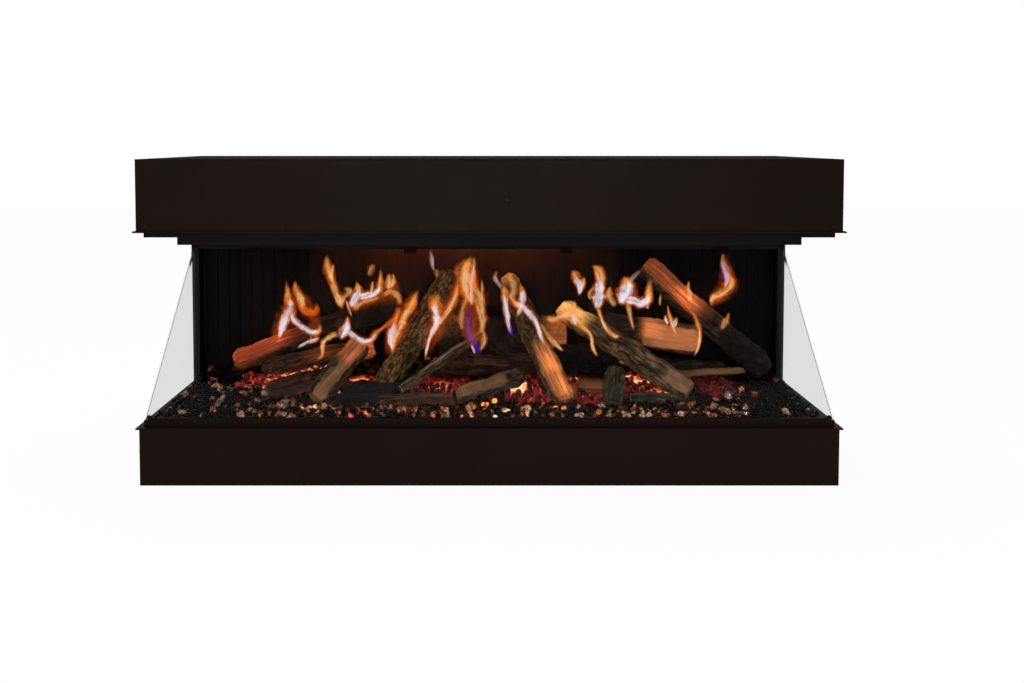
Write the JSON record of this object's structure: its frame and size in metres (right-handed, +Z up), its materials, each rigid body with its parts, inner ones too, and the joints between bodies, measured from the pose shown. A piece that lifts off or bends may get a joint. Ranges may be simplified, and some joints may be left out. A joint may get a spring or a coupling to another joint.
{
  "type": "three-sided electric fireplace",
  "caption": "Built-in electric fire with a black hood and base joined at the rear, open to view on three sides, a sloped pane that mirrors a flame display into a log bed, and a fan heater.",
  "frame": {"origin": "middle of the footprint on the underside of the base", "axes": "+X along the width to the viewer's right, the front faces -Y, +Z up"},
  "size_m": [1.152, 0.3446, 0.534],
  "materials": {
    "black_powder": "black powder coat, fine satin texture",
    "black_matte_liner": "matt black, heat resistant",
    "zinc_steel": "galvanised sheet, dull",
    "tinted_glass": "grey tinted, polished",
    "clear_glass": "clear, polished",
    "ember_plastic": "translucent amber moulding, lit from below",
    "circuit_board": "green solder mask with dark parts",
    "led_board": "white solder mask with yellow lamps",
    "display": "lit display behind glass",
    "black_plastic": "fine moulded texture",
    "grey_plastic": "fine moulded texture",
    "aluminium_wheel": "pressed sheet, satin",
    "motor_steel": "dark lacquered steel",
    "heater_ceramic": "ceramic blocks with pressed fins",
    "black_steel_screw": "black oxide",
    "infrared_lens": "dark red, clear",
    "cable": "sleeved cable",
    "bark_log": "cast imitation bark, painted",
    "charred_log": "cast imitation charred wood, painted",
    "split_log": "cast imitation split wood, painted",
    "crystal_glass": "clear and bronze crushed glass",
    "black_chip": "black crushed glass, glossy",
    "red_bead": "red glass, lit from below"
  },
  "bodies": {
    "casing": {"base_shell": "black_powder", "base_floor": "zinc_steel", "base_lip": "black_powder", "ember_tray": "zinc_steel", "ember_bed": "ember_plastic", "ember_led_strips": "led_board", "glass_rail": "black_powder", "reflector_glass": "tinted_glass", "side_glass_left": "clear_glass", "side_glass_right": "clear_glass", "post_left": "black_matte_liner", "post_right": "black_matte_liner", "glass_top_rail": "black_matte_liner", "glass_clips": "black_matte_liner", "back_liner": "black_matte_liner", "rear_panel": "black_powder", "hood_shell": "black_powder", "hood_lip": "black_powder", "hood_cover": "black_powder", "underside_panel": "black_powder", "display_surround": "black_powder", "display_panel": "display", "display_backplate": "zinc_steel", "outlet_grille": "black_plastic", "heater_case": "zinc_steel", "heater_element": "heater_ceramic", "blower_motor": "motor_steel", "fan_frame_left": "black_plastic", "fan_frame_right": "black_plastic", "control_board": "circuit_board", "power_supply": "zinc_steel", "power_inlet": "black_plastic", "receiver_lens": "infrared_lens", "wiring_loom": "cable", "casing_screws": "black_steel_screw", "button_plate": "black_plastic", "rocker_housing": "black_plastic", "log_back_left": "split_log", "log_mid_left": "bark_log", "log_front_left": "split_log", "log_leaning_left": "bark_log", "log_stick": "bark_log", "log_front_low": "charred_log", "log_back_centre": "charred_log", "log_low_centre": "charred_log", "log_leaning_centre": "split_log", "log_long_right": "bark_log", "log_split_block": "split_log", "log_back_right": "split_log", "kindling": "charred_log", "glass_crystals": "crystal_glass", "coal_chips": "black_chip", "ember_beads": "red_bead"},
    "blower_wheel": {"blower_wheel": "aluminium_wheel"},
    "fan_rotor_left": {"fan_rotor_left": "grey_plastic"},
    "fan_rotor_right": {"fan_rotor_right": "grey_plastic"},
    "rocker": {"rocker": "black_plastic"},
    "button_flame": {"button_flame": "grey_plastic"},
    "button_ember": {"button_ember": "grey_plastic"},
    "button_heat": {"button_heat": "grey_plastic"}
  },
  "joints": [
    {"name": "blower_spin", "type": "hinge", "parent": "casing", "child": "blower_wheel", "pos_m": [0, -0.12175, 0.4805], "axis": [1, 0, 0], "continuous": true},
    {"name": "fan_left_spin", "type": "hinge", "parent": "casing", "child": "fan_rotor_left", "pos_m": [-0.33, 0.16075, 0.4745], "axis": [0, -1, 0], "continuous": true},
    {"name": "fan_right_spin", "type": "hinge", "parent": "casing", "child": "fan_rotor_right", "pos_m": [0.33, 0.16075, 0.4745], "axis": [0, -1, 0], "continuous": true},
    {"name": "rocker_tilt", "type": "hinge", "parent": "casing", "child": "rocker", "pos_m": [0.53575, -0.07975, 0.4095], "axis": [-1, 0, 0], "range_deg": [0, 14]},
    {"name": "button_flame_press", "type": "slide", "parent": "casing", "child": "button_flame", "axis": [0, 0, 1], "range_m": [0, 0.0015], "stiffness_N_per_m": 150},
    {"name": "button_ember_press", "type": "slide", "parent": "casing", "child": "button_ember", "axis": [0, 0, 1], "range_m": [0, 0.0015], "stiffness_N_per_m": 150},
    {"name": "button_heat_press", "type": "slide", "parent": "casing", "child": "button_heat", "axis": [0, 0, 1], "range_m": [0, 0.0015], "stiffness_N_per_m": 150}
  ]
}
